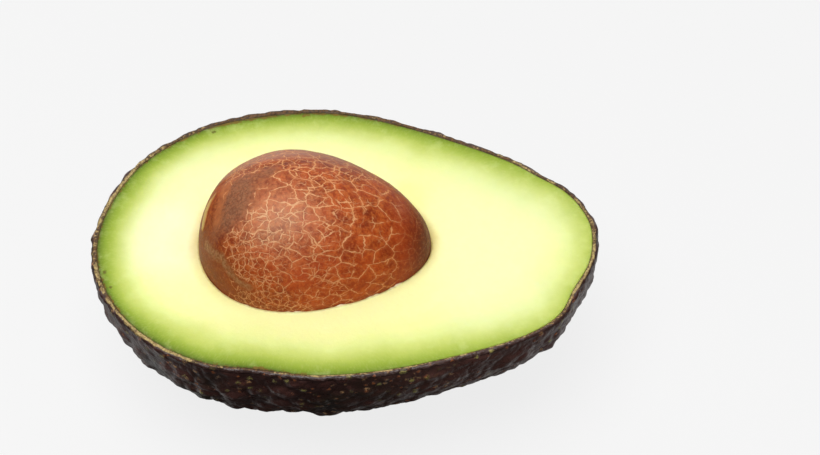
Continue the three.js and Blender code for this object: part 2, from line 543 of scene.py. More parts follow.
def make_skin(settings):
    shell = Shell()
    hollow = GAP + SKIN_THICKNESS

    def outside(directions):
        relief, nearness = skin_relief(fruit_surface(directions, hollow), settings)
        points = fruit_surface(directions, hollow + relief)
        points[:, 2] = np.maximum(points[:, 2], 0)
        rise = relief / settings.pebble_height
        return points, {"relief": rise, "band": BAND_END, "tip": nearness}

    def inside(directions):
        points = fruit_surface(directions, GAP)
        points[:, 2] = np.maximum(points[:, 2], SKIN_THICKNESS)
        return points, {}

    reach = QUARTER_TURN - RIM_START / RIM_RADIUS
    last = shell.dome(settings.rings, outside, side=-1, up=False, reach=reach)
    drop = shell.points[-1][:, 2] - CUT_HEIGHT
    around = ring_directions(len(last))
    relief, nearness = skin_relief(fruit_surface(around, hollow), settings)
    edge = fruit_surface(around, GAP)
    rough = drift(edge, 1.6 * MM, 41) + 0.6 * drift(edge, 0.6 * MM, 42)
    outer = hollow + relief
    rounding = RIM_ROUNDING * (1 + 0.35 * rough)
    proud = RIM_PROUD * (1 + 0.6 * drift(edge, 2.5 * MM, 43))
    width, gold = read_round(RIM_BAND, angle_round(around))
    width = width * MM * (1 + 0.3 * drift(edge, 3.5 * MM, 45))
    for part in RIM_TURNS:
        outset = outer - rounding * (1 - math.cos(part * QUARTER_TURN))
        points = fruit_surface(around, outset)
        points[:, 2] = CUT_HEIGHT + drop + (proud - drop) * math.sin(part * QUARTER_TURN)
        values = {"relief": relief / settings.pebble_height, "tip": nearness, "gold": gold}
        made = shell.ring(points, band=(outset - GAP) / width, **values)
        shell.join(made, last)
        last = made
    top = outer - rounding
    for part in RIM_RINGS:
        outset = GAP + (top - GAP) * part
        points = fruit_surface(around, outset)
        height = proud * smooth(-0.1, 0.5, part) - RIM_DIP * (1 - smooth(0, 0.3, part))
        points[:, 2] = CUT_HEIGHT + height + RIM_GRAIN * drift(points, 0.45 * MM, 44)
        made = shell.ring(points, relief=0.5, gold=gold, band=(outset - GAP) / width)
        shell.join(made, last)
        last = made
    lining = shell.dome(LINING_RINGS, inside, side=-1, up=True, reach=LINING_REACH)
    shell.join(lining, last)
    return shell.build("skin_pebbled", skin_finish(settings))


# Corky specks: the space for each, and their screen colour.
SPECKS = (
    (1.7 * MM, (178, 104, 58)),
    (2.4 * MM, (172, 162, 88)),
    (2.0 * MM, (190, 146, 100)),
)


def skin_finish(settings):
    paint = Finish(bpy.data.materials.new("avocado_skin"))
    relief = paint.value("relief")
    band = paint.value("band")

    # dark purple-brown and green-black in broad patches, with painted shade in the grooves, low
    # down and on the shoulder by the rim, redder towards the stem end, with brown tips on some pebbles
    patches = paint.step(paint.noise(14 * MM, 3), 0.48, 0.68)
    base = paint.mix(patches, tuple(settings.color), linear(42, 40, 28))
    east = paint.node("SeparateXYZ", {}, {0: paint.place}, output="X")
    level = paint.node("SeparateXYZ", {}, {0: paint.place}, output="Z")
    worn = paint.step(paint.value("tip"), 0.72, 0.9) * paint.step(paint.noise(6 * MM, 2), 0.5, 0.6)
    base = paint.over(
        base,
        (paint.step(paint.noise(5 * MM, 4, 0.6), 0.35, 0.7) * 0.6, (82, 48, 42)),
        # painted shade in the grooves between the pebbles
        ((1 - paint.step(relief, 0.0, 0.3)) * 0.6, (36, 24, 22)),
        (paint.step(east, 0, 30 * MM) * 0.5, (104, 70, 62)),
        # painted shade low down, where the skin turns under towards the ground
        ((1 - paint.step(level, 9 * MM, 24 * MM)) * 0.45, (30, 26, 24)),
        # painted shade on the rounded shoulder under the rim, darkening where the key light falls
        ((1 - paint.step(band, 2.0, 4.8)) * 0.6, (42, 25, 21)),
        (worn * 0.6, (104, 62, 44)),
    )

    # scattered corky specks that stand a little proud
    spots = paint.shift(0.8 * MM, 0.35 * MM)
    crowded = paint.step(paint.noise(9 * MM, 2), 0.36, 0.58)
    ragged = paint.noise(0.45 * MM, 3, 0.65)
    corky = 0
    for size, tint in SPECKS:
        lot = paint.node("SeparateColor", {}, {0: paint.cells(size, spots, output="Color")})
        dot = 1 - paint.frayed(paint.cells(size, spots), ragged, 0.7, 0.06, 0.3)
        dot = dot * paint.step(lot, 0.5, 0.55) * crowded
        base = paint.over(base, (dot * 0.9, tint))
        corky = corky + dot

    # the cut edge: dark brown, flecked or overlaid with grainy gold
    wander = (paint.noise(1.3 * MM, 3) - 0.5) * 1.1
    tan = 1 - paint.step(band + wander, 0.8, 1.1)
    grain = paint.noise(0.5 * MM, 4, 0.6)
    brown = paint.mix(paint.step(grain, 0.35, 0.65), linear(56, 40, 18), linear(112, 74, 32))
    gold = paint.mix(paint.step(grain, 0.3, 0.7), linear(140, 116, 66), linear(196, 172, 112))
    flecks = paint.noise(2.0 * MM, 4, 0.75) + (paint.value("gold") - 0.5) * 0.6
    line = 1 - paint.step(band + wander * 0.5, 0.08, 0.34)
    cut = paint.over(brown, (paint.step(flecks, 0.4, 0.6), gold), (line * 0.7, (78, 62, 26)))
    color = paint.mix(tan, base, cut)

    gloss = paint.step(paint.noise(1.4 * MM, 3), 0.3, 0.7)
    roughness = 0.27 + gloss * 0.14 + tan * 0.3
    height = paint.noise(0.7 * MM, 3, 0.55) + tan * grain * 0.8 + corky * 0.8
    pores = paint.cells(0.9 * MM, paint.shift(0.8 * MM, 0.2 * MM))
    shoulder = (1 - paint.step(band, 3.0, 4.9)) * paint.noise(1.8 * MM, 3)
    wavy = paint.bump(shoulder, 0.5 * MM, paint.bump(pores, 0.06 * MM))
    normal = paint.bump(height, 0.12 * MM, wavy)
    return paint.surface({"Base Color": color, "Roughness": roughness, "Normal": normal})


# ---- flesh ----


class FleshSettings(bpy.types.PropertyGroup):
    rings: IntProperty(
        name="Rings", description="Rings of points from the seed to the rim", default=72, min=10
    )
    columns: IntProperty(name="Columns", description="Points round each ring", default=540, min=60)
    unevenness: FloatProperty(
        name="Unevenness", description="Of the cut face", default=0.12 * MM, unit="LENGTH"
    )
    green_edge: FloatProperty(
        name="Green Edge",
        description="How far the green reaches in from the skin, against the usual",
        default=1.0,
        subtype="FACTOR",
        min=0,
        soft_max=2,
    )


FLESH_COLORS = (  # millimetres in from the skin, and the screen colour there
    (0.15, (84, 104, 26)),
    (0.5, (112, 136, 34)),
    (1.0, (134, 158, 46)),
    (1.5, (150, 172, 57)),
    (2.0, (164, 184, 70)),
    (2.5, (178, 195, 84)),
    (3.0, (190, 205, 98)),
    (4.0, (208, 220, 122)),
    (5.0, (224, 234, 146)),
    (6.5, (240, 244, 164)),
    (9.0, (251, 250, 176)),
    (16.0, (253, 251, 182)),
)
FLESH_RAMP = 16  # millimetres that the colours above cover
SEED_CLEARANCE = 0.03 * MM
SKIN_CLEARANCE = 0.03 * MM
BOWL_RINGS = 30  # of the hollow under the seed
RING_CROWDING = 0.35  # how much closer the rings lie at the seed and at the skin

# Shreds of flesh that cling to the seed: degrees round it, spread in degrees, height.
SHREDS = (
    (-123, 2.5, 0.7 * MM),
    (-101, 1.5, 0.6 * MM),
    (-96, 1.5, 1.0 * MM),
    (-76, 4, 0.9 * MM),
    (-58, 4, 0.6 * MM),
    (-45, 3.5, 1.4 * MM),
)

# The green by the skin: degrees round the rim, how far in it goes against the usual, how
# much paler it starts, in millimetres further in, and how stained its very edge is.
GREEN = (
    (0, 1.75, 2.2, 0.1),
    (8, 2.05, 2.0, 0.12),
    (20, 2.05, 1.4, 0.15),
    (35, 1.75, 0.8, 0.2),
    (55, 1.5, 0.4, 0.25),
    (75, 1.45, 0.2, 0.3),
    (95, 1.35, 0.0, 0.34),
    (125, 1.25, 0.0, 0.34),
    (145, 1.25, 0.0, 0.15),
    (155, 1.3, 0.0, 0.1),
    (165, 1.4, 0.0, 0.1),
    (178, 1.45, 0.0, 0.1),
    (188, 1.25, 0.0, 0.24),
    (197, 1.1, 0.0, 0.24),
    (210, 1.35, 0.0, 0.05),
    (231, 1.35, 0.0, 0.05),
    (237, 1.3, 0.0, 0.27),
    (250, 1.25, 0.1, 0.27),
    (257, 1.3, 0.2, 0.12),
    (285, 1.45, 0.5, 0.12),
    (300, 1.6, 1.0, 0.1),
    (315, 1.8, 1.6, 0.1),
    (335, 1.8, 2.1, 0.1),
    (350, 1.6, 2.3, 0.1),
    (360, 1.6, 2.2, 0.1),
)

# Bruised nicks in the flesh beside its edge: place and radius, in millimetres.
NICKS = (
    ((-17.4, 28.6), 0.45),
    ((-30.9, 21.4), 0.4),
    ((-38.3, -7.6), 0.6),
    ((-37.0, -11.4), 0.45),
)

# How strong the painted shadow and warm bounce light of the seed are on the flesh right beside it:
# degrees round the seed, and a share.
SEED_SHADOW_AND_BOUNCE = (
    (0, 0.7),
    (20, 0.9),
    (60, 1.0),
    (90, 0.55),
    (130, 0.5),
    (180, 0.7),
    (215, 0.4),
    (250, 0.1),
    (300, 0.1),
    (335, 0.4),
    (360, 0.7),
)

LIP_HEIGHT = 0.1 * MM  # of the flesh's edge round the seed, where no shred stands
LIP_WIDTH = 0.4 * MM
DIP_DEPTH = 0.35 * MM  # of the cut face beside the seed, on its stem side
DIP_WIDTH = 2.2 * MM
ROLL_DEPTH = 0.08 * MM  # how far the flesh's edge by the skin rolls down
ROLL_WIDTH = 0.5 * MM
NICK_DEPTH = 0.2 * MM
PALE_SHRED = 0.5 * MM  # a shred is pale all over at this height
EVEN_BY_SKIN = 3 * MM  # the cut face's unevenness fades this near the skin
EVEN_BY_SEED = 2 * MM


def from_rim(points, rim):
    """How far each point is from the nearest of the rim's points."""
    away = []
    for piece in np.array_split(points[:, :2], 40):  # a few at a time, to spare memory
        away.append(np.linalg.norm(piece[:, None] - rim[None, :, :2], axis=2).min(axis=1))
    return np.concatenate(away)


def nicked(points):
    """1 in the middle of each nick, fading to 0 round it."""
    total = 0
    for middle, radius in NICKS:
        away = np.linalg.norm(points[:, :2] - MM * np.array(middle), axis=1)
        total = np.maximum(total, fading(away, radius * MM))
    return total


def make_flesh(settings):
    shell = Shell()
    around = ring_directions(settings.columns)
    inner = seed_surface(around, SEED_CLEARANCE)
    outer = fruit_surface(around, GAP - SKIN_CLEARANCE)
    fine_rim = fruit_surface(ring_directions(4 * settings.columns), GAP)
    # how strong the painted shadow and bounce light beside the seed are, round it
    (warm,) = read_round(SEED_SHADOW_AND_BOUNCE, angle_round(around))
    stemward = smooth(-0.3, 0.7, around[:, 0] + 0.4 * around[:, 1])
    shreds = 0
    for at, spread, rise in SHREDS:
        shreds = shreds + rise * fading(np.degrees(angle_round(around)) - at, spread)
    lip_height = LIP_HEIGHT + shreds * (0.5 + 0.5 * drift(inner, 0.8 * MM, 51))

    last = None
    for i in range(settings.rings + 1):
        part = i / settings.rings
        part = part - RING_CROWDING * math.sin(2 * math.pi * part) / (2 * math.pi)
        points = inner + (outer - inner) * part
        from_seed = np.linalg.norm(points - inner, axis=1)
        inward = from_rim(points, fine_rim)
        waves = drift(points, 11 * MM, 52) + 0.3 * drift(points, 3.5 * MM, 53)
        open_face = smooth(0, EVEN_BY_SKIN, inward) * smooth(0, EVEN_BY_SEED, from_seed)
        lift = settings.unevenness * waves * open_face
        dip = DIP_DEPTH * np.exp(-from_seed / DIP_WIDTH) * stemward
        lip = lip_height * fading(from_seed, LIP_WIDTH)
        nick = nicked(points)
        roll = ROLL_DEPTH * (1 - smooth(0, ROLL_WIDTH, inward))
        points[:, 2] = CUT_HEIGHT + lift - dip + lip - roll - NICK_DEPTH * nick
        reach, start, stain = read_round(GREEN, angle_round(points - FRUIT_MIDDLE))
        values = {"seedward": from_seed / MM, "stain": stain, "nick": nick, "warm": warm}
        values["inward"] = start + inward / MM / (reach * settings.green_edge)
        values["shred"] = np.minimum(lip / PALE_SHRED, 1)
        made = shell.ring(points, **values)
        if last is None:
            first = made
        else:
            shell.join(last, made)
        last = made

    def back(directions):
        points = fruit_surface(directions, 0)
        points[:, 2] = np.maximum(points[:, 2], SKIN_THICKNESS + GAP)
        return points, {}

    def hollow(directions):
        return seed_surface(directions, SEED_CLEARANCE), {"inward": FLESH_RAMP}

    lining = shell.dome(LINING_RINGS, back, side=-1, up=False, reach=LINING_REACH)
    shell.join(lining, last, up=False)
    bowl = shell.dome(BOWL_RINGS, hollow, side=-1, up=True, reach=LINING_REACH)
    shell.join(bowl, first)
    return shell.build("flesh_cut", flesh_finish())


# Soft tints of the cut face, such as beige prints by the seed: middle and radius in
# millimetres, screen colour and share.
FLESH_TINTS = (
    ((-27.5, 1), 14, (254, 254, 224), 0.42),
    ((-24, 19), 16, (240, 244, 204), 0.3),
    ((42, 10), 24, (234, 244, 196), 0.35),
    ((38, -17), 18, (238, 246, 200), 0.3),
    ((5, 25), 24, (238, 247, 188), 0.25),
    ((-21.5, -1), 6.5, (243, 233, 184), 0.6),
    ((-20, 5), 5, (247, 240, 186), 0.5),
    ((22, 9.5), 6, (240, 236, 150), 0.5),
    ((-20, -24.5), 6, (196, 204, 84), 0.35),
)


def flesh_finish():
    paint = Finish(bpy.data.materials.new("avocado_flesh"))
    inward = paint.value("inward")
    seedward = paint.value("seedward")

    # green by the skin to pale yellow by the seed, with a wavering edge
    cloud = (paint.noise(7 * MM, 3) - 0.5) * 1.7 + (paint.noise(1.6 * MM, 3) - 0.5) * 0.7
    depth = inward + cloud * paint.step(inward, 0.2, 3.5)
    stops = [(at / FLESH_RAMP, linear(*color)) for at, color in FLESH_COLORS]
    color = paint.node("ValToRGB", {"stops": stops}, {"Fac": depth / FLESH_RAMP}, output="Color")

    # faint spokes of fibre that run out from the seed, and soft milder and greener patches
    sockets = {0: paint.place - tuple(SEED_MIDDLE)}
    spoke = paint.node("VectorMath", {"operation": "NORMALIZE"}, sockets)
    fibre = paint.noise(1 / 55, 3, 0.6, spoke + paint.place * 22)
    mild = paint.step(paint.noise(10 * MM, 2), 0.5, 0.75) * paint.step(inward, 2, 6)
    patches = paint.step(paint.noise(4 * MM, 4, 0.6), 0.5, 0.72) * paint.step(seedward, 3, 12)
    color = paint.over(
        color,
        (paint.step(fibre, 0.45, 0.75) * 0.12, (226, 222, 140)),
        (mild * 0.15, (250, 247, 176)),
        (patches * 0.2, (226, 238, 158)),
    )

    wavering = paint.shift(4 * MM, MM)
    for (x, y), radius, tint, share in FLESH_TINTS:
        sockets = {0: wavering, 1: (x * MM, y * MM, CUT_HEIGHT)}
        away = paint.node("VectorMath", {"operation": "DISTANCE"}, sockets, "Value")
        near = (1 - paint.step(away, radius * 0.3 * MM, radius * MM)) * paint.step(inward, 1.5, 6)
        color = paint.over(color, (near * share, tint))

    # painted shadow and warm bounce light of the seed round its edge, a brown painted contact shadow
    # where they meet, with pale shreds in it, then brown teeth of the skin in the flesh's edge, and
    # bruised nicks
    warm = 1 - paint.frayed(seedward, paint.noise(2 * MM, 3), 1.2, 0, 2.8)
    contact_shadow = 1 - paint.frayed(seedward, paint.noise(0.8 * MM), 0.4, 0.05, 0.5)
    ragged = paint.noise(1.5 * MM, 4, 0.65)
    teeth = paint.step((ragged - 0.5) * 2.4 + paint.value("stain") * 1.6 - inward * 0.9, 0.05, 0.3)
    bruise = paint.mix(paint.step(ragged, 0.4, 0.6), linear(66, 48, 16), linear(126, 94, 36))
    color = paint.over(
        color,
        # painted shadow and warm bounce light of the seed on the flesh round it
        (warm * paint.value("warm") * 0.75, (200, 166, 72)),
        # painted contact shadow where the flesh meets the seed
        (contact_shadow * 0.55, (176, 138, 60)),
        (paint.step(paint.value("shred"), 0.35, 0.8), (244, 226, 176)),
        (teeth * 0.8, bruise),
        (paint.frayed(paint.value("nick"), ragged, 1.6, 0.4, 0.8) * 0.75, (96, 84, 26)),
    )

    pores = paint.noise(0.5 * MM, 3, 0.6)
    normal = paint.bump(pores, 0.03 * MM, paint.bump(paint.noise(2.5 * MM, 3), 0.05 * MM))
    roughness = 0.42 + paint.step(paint.noise(3 * MM, 2), 0.3, 0.7) * 0.14
    roughness = roughness + (1 - paint.step(inward, 0.5, 3)) * 0.3
    return paint.surface(
        {
            "Base Color": color,
            "Roughness": roughness,
            "Normal": normal,
            "Subsurface Weight": 0.35,
            "Subsurface Radius": (1.0, 0.8, 0.35),
            "Subsurface Scale": 1.6 * MM,
            "Specular IOR Level": 0.3,
        }
    )


# ---- seed ----


class SeedSettings(bpy.types.PropertyGroup):
    rings: IntProperty(
        name="Rings", description="Rings of points from the top to the cut", default=150, min=20
    )
    crack_size: FloatProperty(
        name="Crack Size",
        description="Across the cells of the net of cracks in its coat",
        default=2.2 * MM,
        unit="LENGTH",
    )
    color: FloatVectorProperty(
        name="Colour",
        description="Of the coat",
        subtype="COLOR",
        default=linear(180, 73, 24),
        min=0,
        max=1,
    )


# Flattened places on the seed: direction of each, how deep it is, and over what width
# its edge turns.
SEED_FLATS = (
    ((-0.35, 0.62, 0.70), 0.3 * MM, 0.45 * MM),
    ((-0.86, -0.18, 0.45), 0.4 * MM, 0.3 * MM),
)

FLAT_SHARE = 0.85  # how much of what stands beyond a flat is taken off
FLAP_HEIGHT = 0.25 * MM  # of a loose flap of the coat
CREASE_DEPTH = 0.12 * MM
WAVE_HEIGHT = 0.12 * MM
GRAIN_HEIGHT = 0.03 * MM
LINE_WANDER = 0.05  # how far lines and spots on the coat wander, as a share of a radius
UNDERSIDE_RINGS = 40
UNDERSIDE_REACH = QUARTER_TURN - 0.02

COAT_POLE = (0.55, 0.05, 0.83)  # the direction in which the cracked coat's cells are largest

# Lines on the seed's coat, as unit directions from its middle, and their widths.
FLAP_EDGE = (0.03, 0.055)  # how far from its line the flap ends, softly
CREASE_WIDTH = 0.05
OLIVE_WIDTH = 0.075
OCHRE_WIDTH = 0.1
CREASE = ((-0.80, 0.17, 0.58), (-0.62, 0.21, 0.75), (-0.44, 0.23, 0.87), (-0.21, 0.30, 0.93))
FLAP = ((-0.85, 0.08, 0.52), (-0.91, 0.03, 0.41), (-0.94, -0.10, 0.33))
OCHRE = ((-0.70, 0.22, 0.68), (-0.77, -0.02, 0.64), (-0.80, -0.22, 0.55))
OLIVE = ((-0.89, -0.32, 0.30), (-0.77, -0.54, 0.33), (-0.62, -0.74, 0.26), (-0.50, -0.83, 0.24))

# Soft spots on the seed's coat: direction from its middle, radius and strength.
GREY = (
    ((-0.61, -0.06, 0.79), 0.24, 1),
    ((-0.70, -0.28, 0.65), 0.19, 0.8),
    ((-0.82, -0.36, 0.45), 0.15, 0.5),
    ((-0.37, 0.16, 0.92), 0.18, 0.65),
)
# painted shade on the lower blunt end, facing away from the light
SHADE_SPOTS = (((-0.95, -0.20, 0.10), 0.40, 1), ((-0.70, -0.70, 0.05), 0.38, 1))
# pale dust with a painted sheen in the middle, and a painted highlight near the narrow end's top
DUST_AND_SHEEN = (((-0.30, -0.42, 0.86), 0.42, 1), ((0.74, 0.02, 0.67), 0.13, 0.7))
# painted bounce light from the flesh on the seed's near foot
FOOT = (((0.2, -0.9, 0.15), 0.55, 1),)
WHOLE_TOP = (((-0.42, -0.02, 0.9), 0.33, 1),)  # the coat has few cracks in this and the next
WHOLE_SIDE = (((-0.78, -0.60, 0.10), 0.35, 1),)


def furthest(normal):
    """How far the seed reaches from its middle along a direction."""
    tilts = np.linspace(0, QUARTER_TURN, 60)
    turns = np.concatenate([ring_directions(180, tilt) for tilt in tilts])
    return ((seed_surface(turns, 0) - SEED_MIDDLE) @ normal).max()


def unrolled(directions, pole):
    """Flat coordinates of directions, seen from the far side of the seed. Equal steps on
    the flat sheet are small steps on the seed far from the pole, and shapes are kept."""
    pole = np.array(pole) / np.linalg.norm(pole)
    across = np.cross((0, 1, 0), pole)
    across /= np.linalg.norm(across)
    up = np.cross(pole, across)
    scale = 2 / (1 + np.maximum(directions @ pole, -0.8))
    return directions @ across * scale, directions @ up * scale


def spots(directions, places):
    """How near each direction is to any of a list of soft spots."""
    total = 0
    for middle, radius, strength in places:
        away = np.linalg.norm(directions - np.array(middle), axis=1)
        total = total + strength * fading(away, radius)
    return total


def line(directions, path, width):
    """1 on a path of directions, fading to 0 at about a width from it."""
    return fading(away_from_path(directions, path), width)


def far_side(directions):
    """1 on the upper far side of the seed, with a soft uneven edge."""
    along, across, up = directions.T
    soft = 0.24 + 0.22 * smooth(-0.4, 0.1, along)
    edge = 0.23 + 0.08 * along + 0.06 * drift(directions, 0.2, 70)
    share = smooth(0.0, soft, across - edge)
    share = share * (1 - smooth(0.0, 0.7, along - 0.1 * drift(directions, 0.3, 69)))
    return share * (1 - smooth(0.58, 0.9, across)) * smooth(0.1, 0.5, up)


def make_seed(settings):
    shell = Shell()
    flats = []
    for toward, depth, softness in SEED_FLATS:
        normal = np.array(toward) / np.linalg.norm(toward)
        flats.append((normal, furthest(normal) - depth, softness))

    def place(directions):
        points = seed_surface(directions, 0)
        for normal, limit, softness in flats:
            beyond = (points - SEED_MIDDLE) @ normal - limit
            cut = softness * np.logaddexp(0, beyond / softness) * FLAT_SHARE
            points = points - np.outer(cut, normal)
        wander = np.stack([drift(directions, 0.18, 61 + axis) for axis in range(3)], axis=1)
        moved = directions + LINE_WANDER * wander
        flap = 1 - smooth(*FLAP_EDGE, away_from_path(moved, FLAP))
        crease = line(moved, CREASE, CREASE_WIDTH)
        rise = FLAP_HEIGHT * flap - CREASE_DEPTH * crease + WAVE_HEIGHT * drift(points, 6 * MM, 66)
        points = points + directions * (rise + GRAIN_HEIGHT * drift(points, 1.5 * MM, 67))[:, None]

        along, across, up = directions.T
        grey = spots(moved, GREY)
        olive = line(moved, OLIVE, OLIVE_WIDTH)
        behind = far_side(directions)
        # the coat has few cracks in its dull places, at both ends and on its far side
        whole = np.maximum.reduce(
            [
                smooth(0.3, 0.8, grey),
                smooth(-0.6, -0.8, along),
                0.5 * smooth(-0.1, 0.3, along - 0.5 * across),
                0.75 * smooth(0.3, 0.7, along - 0.3 * across),
                0.8 * smooth(0.2, 0.7, spots(moved, WHOLE_TOP)),
                smooth(0.1, 0.6, olive),
                smooth(0.4, 0.9, spots(moved, WHOLE_SIDE)),
                0.5 * behind,
            ]
        )
        coat_x, coat_y = unrolled(directions, COAT_POLE)
        return points, {
            "coat_x": coat_x * SEED_HEIGHT,
            "coat_y": coat_y * SEED_HEIGHT,
            "crazed": 1 - whole,
            "grey": np.minimum(grey, 1),
            "ochre": line(moved, OCHRE, OCHRE_WIDTH),
            "flap": flap,
            "crease": crease,
            "olive": olive,
            # painted shade on the lower blunt end and along the cut
            "dusk": np.minimum(spots(moved, SHADE_SPOTS) + 1 - smooth(0.0, 0.14, up), 1),
            "dust": spots(moved, DUST_AND_SHEEN),
            "tip": smooth(0.5, 0.99, along),
            # painted sheen of the light on the seed's upper far side
            "glow": behind,
            "crown": smooth(0.2, 0.5, across) * smooth(-0.4, 0.0, along),
            "foot": spots(directions, FOOT),
        }

    top = shell.dome(settings.rings, place, side=1, up=True)
    under = shell.dome(UNDERSIDE_RINGS, place, side=-1, up=False, reach=UNDERSIDE_REACH)
    shell.join(under, top, up=False)
    return shell.build("seed_crackled", seed_finish(settings))


def crackle(paint, coat, size):
    """Pale jagged cracks in the coat: large broken ones and a fine net between them. Returns
    the two and the large ones' soft orange sides."""
    place = paint.shift(1.3 * MM, 0.5 * MM, paint.shift(4.0 * MM, 0.8 * MM, coat))
    place = paint.shift(0.5 * MM, 0.2 * MM, place)
    strength = paint.noise(2.6 * MM, 3, 0.6, coat)
    edges = {"feature": "DISTANCE_TO_EDGE", "flat": True}

    def unbroken(patch, low, high):
        """1 where lines stay, and 0 in the patches where they break off."""
        return paint.step(paint.noise(patch, 2, where=coat), low, high)

    wide = paint.cells(1.6 * size, place, **edges) * (1.6 * size)
    wide_line = 1 - paint.step(wide / (0.05 * MM + strength * 0.23 * MM), 0.3, 1.0)
    wide_kept = unbroken(3.5 * MM, 0.38, 0.5)
    large = wide_line * wide_kept * (0.55 + strength * 0.7)
    halo = (1 - paint.step(wide, 0.1 * MM, 0.8 * MM)) * wide_kept * 0.7

    fine = paint.cells(size, place, randomness=0.95, **edges) * size
    fine_line = 1 - paint.step(fine / (0.05 * MM + strength * 0.2 * MM), 0.3, 1.0)
    lot = paint.cells(size, place, flat=True, randomness=0.95, output="Color")
    tiny = paint.cells(size / 2, place + lot, randomness=0.95, **edges)
    tiny_line = 1 - paint.step(tiny / 0.1, 0.2, 1.0)
    fine_line = fine_line * unbroken(2.2 * MM, 0.36, 0.5) * 0.95
    tiny_line = tiny_line * unbroken(1.5 * MM, 0.46, 0.58) * 0.35
    return large, paint.larger(fine_line, tiny_line), halo


def seed_finish(settings):
    paint = Finish(bpy.data.materials.new("avocado_seed"))
    grey, dust, tip = (paint.value(name) for name in ("grey", "dust", "tip"))
    coat = paint.node("CombineXYZ", {}, {"X": paint.value("coat_x"), "Y": paint.value("coat_y")})
    cloud = paint.noise(5 * MM, 4, 0.6)
    mottle = paint.noise(0.9 * MM, 4, 0.65)
    grit = paint.step(paint.noise(0.4 * MM, 3, 0.7), 0.4, 0.65)
    speckle = paint.step(paint.noise(0.5 * MM, 4, 0.7), 0.38, 0.64)
    dull = paint.mix(speckle, linear(112, 74, 52), linear(148, 104, 74))
    pale = paint.mix(speckle, linear(132, 84, 48), linear(180, 136, 92))
    # painted sheen on the seed's upper far side
    painted_sheen = paint.frayed(paint.value("glow"), cloud, 0.9, 0.1, 0.95)

    # a red-brown coat with clouds, dusty in its middle under a painted sheen, then painted shade that
    # darkens the blunt end and the seed along the cut, the dull and greyer places, a painted sheen on
    # the far top, painted shade in the crease, the dark narrow end, painted bounce light from the
    # flesh on the near foot, and freckles over all of it
    color = paint.mix(paint.step(cloud, 0.35, 0.65), linear(132, 46, 14), tuple(settings.color))
    color = paint.over(
        color,
        (paint.step(mottle, 0.42, 0.66) * 0.55, (212, 114, 44)),
        (grit * 0.35, (112, 46, 20)),
        # pale dust and a painted sheen of the key light
        (paint.frayed(dust, mottle, 1.0, 0.0, 1.2) * 0.5, (208, 154, 114)),
        (paint.step(paint.noise(2.0 * MM, 3), 0.5, 0.7) * 0.35, (108, 38, 16)),
        # painted shade on the lower blunt end and along the cut
        (paint.frayed(paint.value("dusk"), cloud, 0.8, 0.1, 0.9) * 0.75, (122, 56, 20)),
        (paint.frayed(grey, cloud, 1.2, 0.25, 1.0) * 0.82, dull),
        (paint.frayed(paint.value("ochre"), mottle, 1.2, 0.3, 1.1) * 0.75, (184, 108, 62)),
        (paint.frayed(paint.value("olive"), mottle, 1.2, 0.3, 1.1) * 0.75, pale),
        # painted sheen on the far top
        (painted_sheen * (0.6 + speckle * 0.25), (166, 120, 98)),
        # painted shade in the crease
        (paint.value("crease") * 0.3, (84, 38, 22)),
        (paint.frayed(tip, cloud, 0.4, 0.0, 0.6) * 0.6, (156, 56, 22)),
        (paint.frayed(tip, cloud, 0.4, 0.5, 1.1) * 0.9, (88, 16, 0)),
        # painted bounce light from the flesh on the near foot
        (paint.value("foot") * 0.4, (198, 72, 18)),
        (paint.step(mottle, 0.46, 0.34) * 0.15, (70, 26, 10)),
        (paint.step(paint.noise(0.6 * MM, 4, 0.7), 0.5, 0.7) * 0.3, (216, 122, 72)),
    )

    # the cracks, which show the paler layer under the coat, then what lies over them
    large, net, halo = crackle(paint, coat, settings.crack_size)
    crazed = paint.value("crazed")
    crackled = paint.step(crazed, 0.05, 0.2) * (1 - paint.step(tip, 0.25, 0.55) * 0.85)
    net = net * paint.frayed(crazed, paint.noise(4 * MM, 2), 1.2, 0.3, 0.7)
    cracks = paint.larger(large * crackled, net)
    bare = paint.mix(paint.noise(1.5 * MM, 2), linear(214, 134, 68), linear(240, 186, 132))
    color = paint.over(
        color,
        (halo * crackled * 0.35, (212, 122, 70)),
        # the cracks are paler under the dust and painted sheen
        (cracks * 0.85, paint.over(bare, (dust * 0.6, (242, 204, 162)))),
        (paint.value("crown") * 0.3, (120, 76, 60)),
        (paint.value("flap") * paint.step(mottle, 0.2, 0.45), (208, 172, 104)),
    )

    roughness = 0.42 + paint.step(mottle, 0.3, 0.7) * 0.12 + grey * 0.1
    height = paint.noise(0.45 * MM, 3, 0.6) - cracks * 0.8
    normal = paint.bump(height, 0.07 * MM, paint.bump(cloud, 0.1 * MM))
    sockets = {"Base Color": color, "Roughness": roughness, "Normal": normal}
    return paint.surface({**sockets, "Specular IOR Level": 0.2})


# ---- stage ----


class StageSettings(bpy.types.PropertyGroup):
    key_power: FloatProperty(
        name="Key Light", description="Of the large light overhead", default=7.6, unit="POWER", min=0
    )
    side_power: FloatProperty(
        name="Side Light", description="Of the panel on the left", default=0.5, unit="POWER", min=0
    )
    front_power: FloatProperty(
        name="Front Light", description="Of the low panel in front", default=1.0, unit="POWER", min=0
    )
    surround: FloatProperty(
        name="Surround", description="Brightness of the room", default=0.06, min=0
    )
    floor_diffuse: FloatProperty(
        name="Floor Shade", description="Share of the light that the floor gives back", default=0.09
    )
    floor_glow: FloatProperty(
        name="Floor Glow", description="Light that the floor gives off itself", default=0.82, min=0
    )
    lens: FloatProperty(
        name="Lens", description="Focal length", default=106.96, unit="CAMERA", min=1
    )


FLOOR_HALF = 3.0
CAMERA_PLACE = (8.5 * MM, -310.04 * MM, 400.50 * MM)
CAMERA_FORWARD = (0.02723, 0.64593, -0.76291)  # down by 50 degrees


